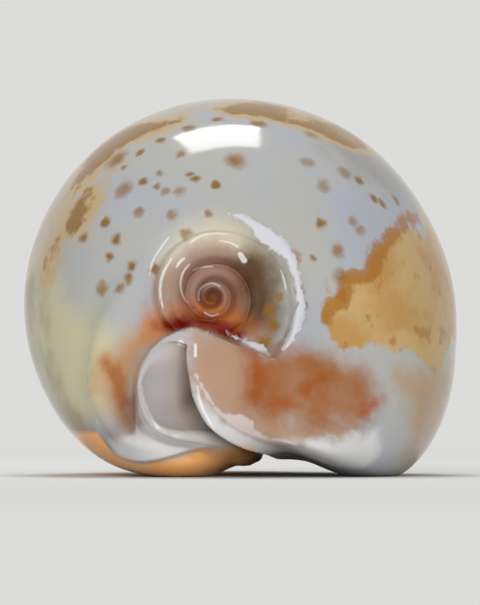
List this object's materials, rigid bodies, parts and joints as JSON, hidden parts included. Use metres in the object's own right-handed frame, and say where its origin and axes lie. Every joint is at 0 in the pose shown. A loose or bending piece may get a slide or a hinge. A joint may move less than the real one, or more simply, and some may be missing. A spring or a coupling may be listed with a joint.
{
  "type": "cowrie shell",
  "caption": "Glossy umbilicate cowrie shell: egg-shaped body whorl with a sunken coiled spire, an open rear canal and a long slit-like mouth along its flat base.",
  "frame": {"origin": "middle of the shell's bounding box at the level of the surface it rests on", "axes": "+Z towards the domed back, -Y towards the spire end with its rear canal, +Y towards the narrow front end, +X towards the outer-lip side"},
  "size_m": [0.065, 0.0942, 0.0567],
  "materials": {
    "shell": "glossy"
  },
  "bodies": {
    "root": {"shell": "shell"}
  },
  "joints": []
}
